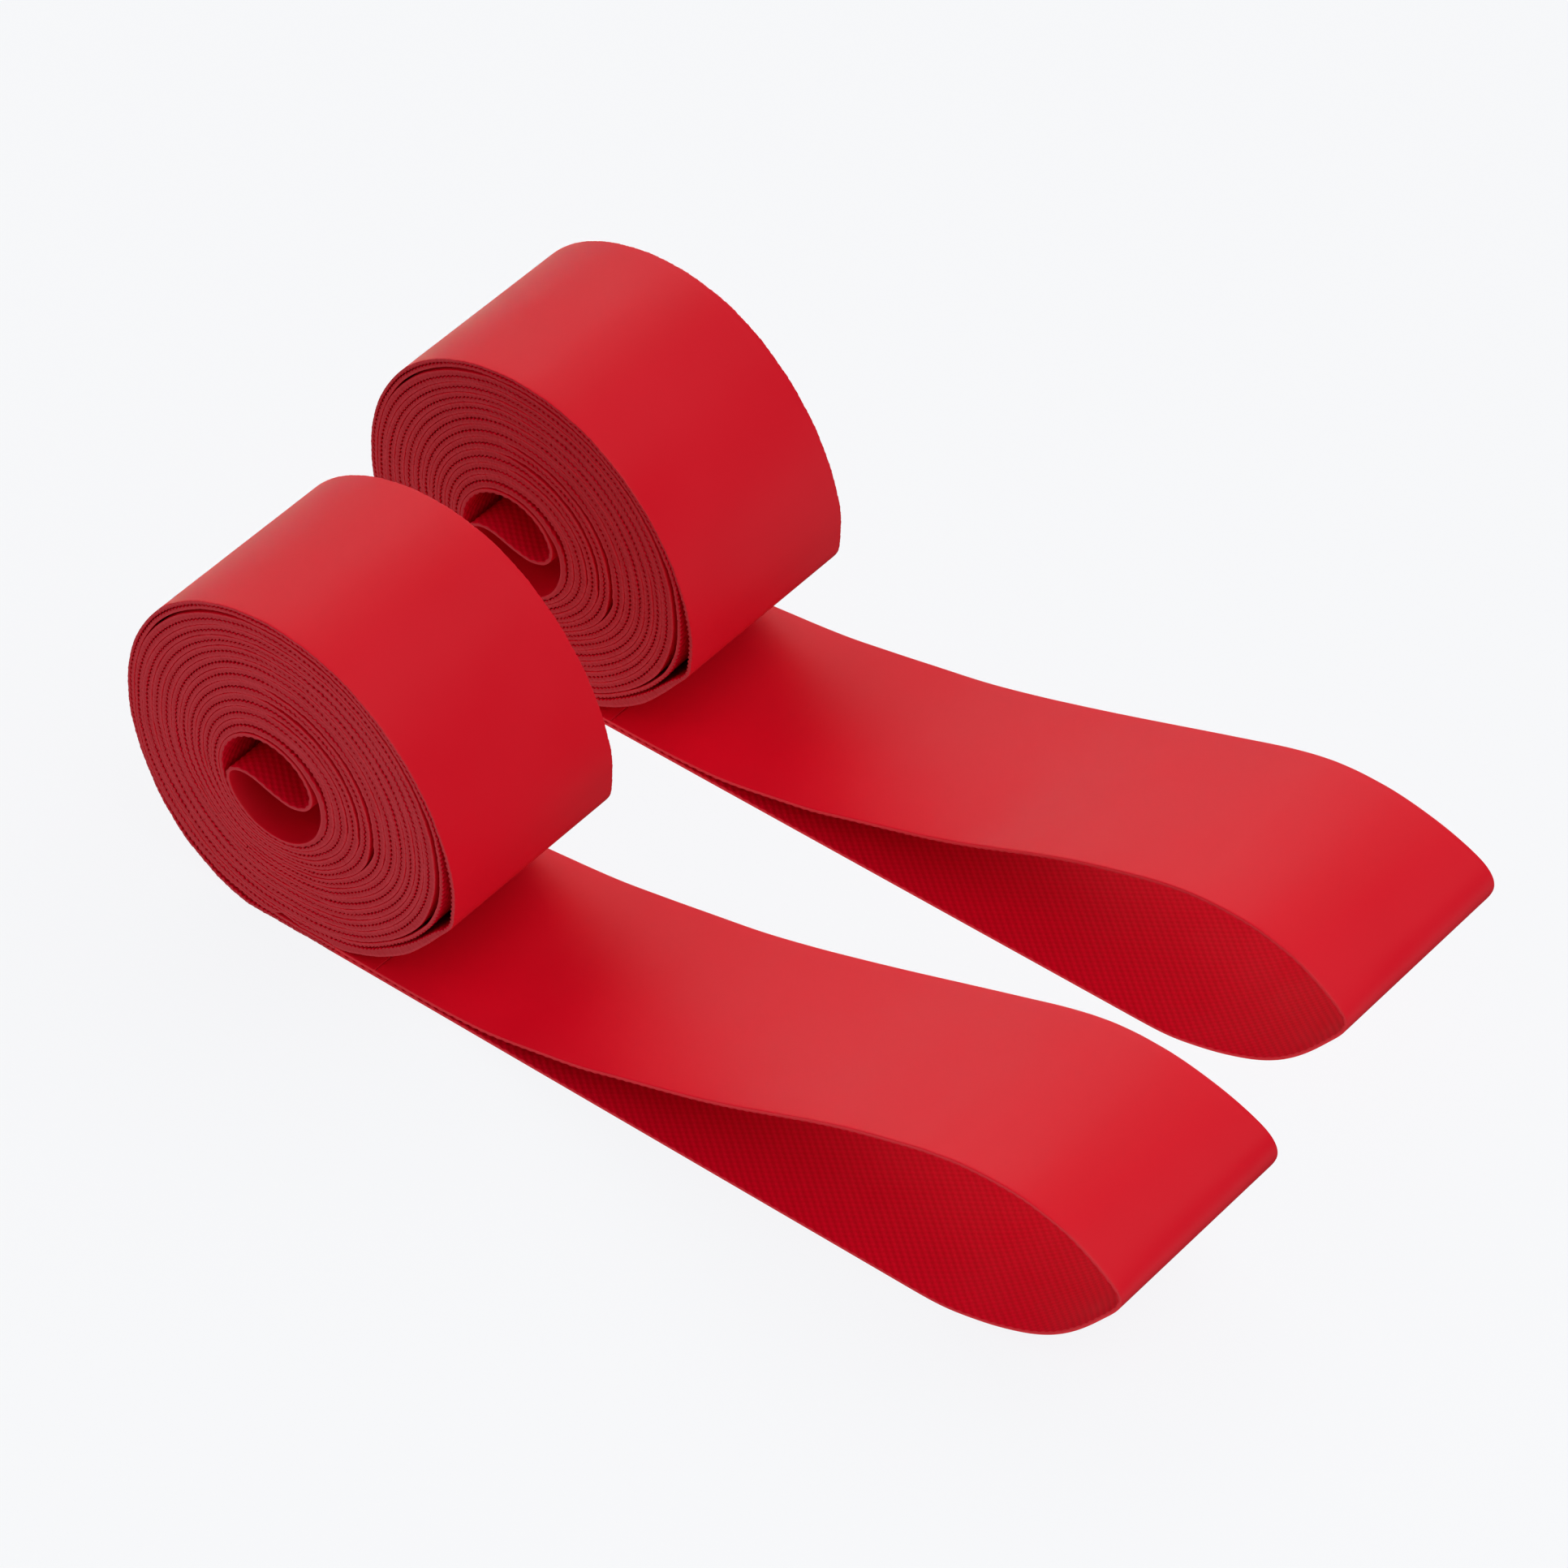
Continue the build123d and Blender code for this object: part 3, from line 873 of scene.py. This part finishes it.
def build_nip(band):
    """Both strands from the roll to the seam."""
    plies = Shells(SHIFT[band]), Shells(SHIFT[band])
    count = int((SEAM_X - ROLL_END_X) / STEP) + 1
    lower = loop_section(count, (0, NEAR_SEAM[0]), (0, FAR_SEAM[0]))
    add_strip(plies, *lower, 0.0, full_weave=False)
    upper = loop_section(count, (NEAR_SEAM[1], arc(NEAR_LINE)[-1]),
                         (FAR_SEAM[1], arc(FAR_LINE)[-1]))
    add_strip(plies, *upper, NEAR_SEAM[1], full_weave=False)

    def attach(made):
        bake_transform(made)

    build_plies(band, "nip", plies, LOOP_EDGES_PAINTED_LIGHT, attach, ["upper_lead", "lower_run"])


def build_free_loop(band):
    """The loop from seam to seam, four steps to a weave rib."""
    plies = Shells(SHIFT[band]), Shells(SHIFT[band])
    count = int((NEAR_SEAM[1] - NEAR_SEAM[0]) * RIBS_ALONG * 4.0)
    add_strip(plies, *loop_section(count, NEAR_SEAM, FAR_SEAM), NEAR_SEAM[0], full_weave=True)

    def attach(made):
        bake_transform(made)

    build_plies(band, "free_loop", plies, LOOP_EDGES_PAINTED_LIGHT, attach,
                ["upper_lead", "lower_run", "end_bend", "upper_run"])


def build_weld(band):
    """A short pressed length in the middle turns, ribbed across."""
    (smooth_side, woven_side), lengths = resample(welded_part(WELDED_LENGTHS <= WELD_END), STEP)
    through = woven_side - smooth_side
    inward = through / np.hypot(through[:, 0], through[:, 1])[:, None]
    rib = .0004 * np.cos(2 * np.pi * lengths * 60)
    sunk = COAT_ROUNDING[None, :, None] + .0004 - rib[:, None, None]
    back = woven_side - inward * .0008
    shells = Shells(SHIFT[band])
    shells.add(smooth_side[:, None] + inward[:, None] * sunk, (back, back), COAT_PLACES,
               flip=False)
    made = shells.build(f"{band}_loop_weld_pressed", [WELD, ROLL_EDGES_PAINTED_SHADE["coating"]])
    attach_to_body(made, f"{band}_middle_turns")
    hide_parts(f"{band}_loop_weld")


for band in BANDS:
    for key in ROLLED:
        build_rolled(band, key)
    build_nip(band)
    build_free_loop(band)
    build_weld(band)

# ---------------------------------------------------------------------------
# stage, in metres: pale floor, soft light, camera
# ---------------------------------------------------------------------------
scene = bpy.context.scene
scene.view_settings.view_transform = "Standard"


def build_floor(half=4, z=-.00002):
    mesh = bpy.data.meshes.new("floor")
    mesh.from_pydata([(-half, -half, z), (half, -half, z), (half, half, z), (-half, half, z)],
                     [], [(0, 1, 2, 3)])
    made = bpy.data.objects.new("floor", mesh)
    scene.collection.objects.link(made)
    mesh.materials.append(floor_material())
    made.visible_glossy = False
    return made


def build_world():
    world = bpy.data.worlds.new("studio")
    scene.world = world
    world.use_nodes = True
    background = world.node_tree.nodes["Background"]
    background.inputs["Color"].default_value = (1, 1, 1, 1)
    background.inputs["Strength"].default_value = .135
    world.cycles_visibility.glossy = False


floor = build_floor()
build_world()

# each band has its own copy of every lamp, so that neither stands in the other's shadow
LIT, SHADE, OFFSET = {}, {}, {}
for band in BANDS:
    LIT[band] = bpy.data.collections.new(f"{band}_lit")
    SHADE[band] = bpy.data.collections.new(f"{band}_shade")
    for item in scene.objects:
        if item.name.startswith(band + "_"):
            LIT[band].objects.link(item)
            SHADE[band].objects.link(item)
    OFFSET[band] = Vector((SHIFT[band][0] - SHIFT["front"][0],
                           SHIFT[band][1] - SHIFT["front"][1], 0))
LIT["front"].objects.link(floor)


def place_lamps(name, light, place, toward_light, sheen):
    light.cycles.use_multiple_importance_sampling = False
    for band in BANDS:
        lamp = bpy.data.objects.new(f"{name}_{band}", light)
        lamp.location = Vector(place) + OFFSET[band]
        lamp.rotation_euler = Vector(toward_light).to_track_quat("Z", "Y").to_euler()
        lamp.light_linking.receiver_collection = LIT[band]
        lamp.light_linking.blocker_collection = SHADE[band]
        lamp.visible_glossy = sheen
        scene.collection.objects.link(lamp)


def soft_sun(name, direction, strength, sheen):
    """Broad soft light from one side; sheen=False for a fill that leaves no highlight."""
    light = bpy.data.lights.new(name, "SUN")
    light.energy = strength
    light.angle = math.radians(45 if sheen else 60)
    light.color = (1, .985, .93) if sheen else (1, 1, 1)
    place_lamps(name, light, (0, 0, .5), direction, sheen)


def softbox(name, place, aim, size, power):
    light = bpy.data.lights.new(name, "AREA")
    light.shape = "SQUARE"
    light.size = size
    light.energy = power
    place_lamps(name, light, place, Vector(place) - Vector(aim), True)


# name, direction towards the light, strength, whether it leaves a highlight
SUNS = [
    ("fill_front_left", (-.55, -.70, .40), .86, False),
    ("fill_back_left", (-.7, .5, .5), .94, False),
    ("fill_back_right", (.3, .8, .5), .85, False),
    ("fill_front_low", (.2, -.95, .20), .15, False),
    ("fill_top_right", (.5, .2, .85), .70, False),
    ("top_right", (.5, .2, .85), .32, True),
    ("back_left", (-.7, .5, .5), .30, True),
    ("back", (-.3, .8, .5), .39, True),
    ("low_back_left", (-.8, .58, -.25), .30, True),
]
for sun in SUNS:
    soft_sun(*sun)
softbox("box_right", place=(.16, -.10, .16), aim=(.01, 0, .01), size=.12, power=.11)


def build_camera(elevation, azimuth, distance, target_x, target_y, lens):
    """Long lens from +x and -y, looking down; distance and target are in band widths."""
    toward_camera = Vector((math.sin(azimuth) * math.cos(elevation),
                            -math.cos(azimuth) * math.cos(elevation), math.sin(elevation)))
    target = Vector((target_x * WIDTH + SHIFT["front"][0],
                     target_y * WIDTH + SHIFT["front"][1], 0))
    data = bpy.data.cameras.new("camera")
    data.sensor_width = 36
    data.lens = lens
    data.clip_start = .01
    data.clip_end = 20
    camera = bpy.data.objects.new("camera", data)
    camera.location = target + toward_camera * (distance * WIDTH)
    camera.rotation_euler = (-toward_camera).to_track_quat("-Z", "Y").to_euler()
    scene.collection.objects.link(camera)
    scene.camera = camera


build_camera(elevation=math.radians(43.16847), azimuth=math.radians(38.86886),
             distance=34.39513, target_x=6.70480, target_y=1.96878, lens=186.335404)
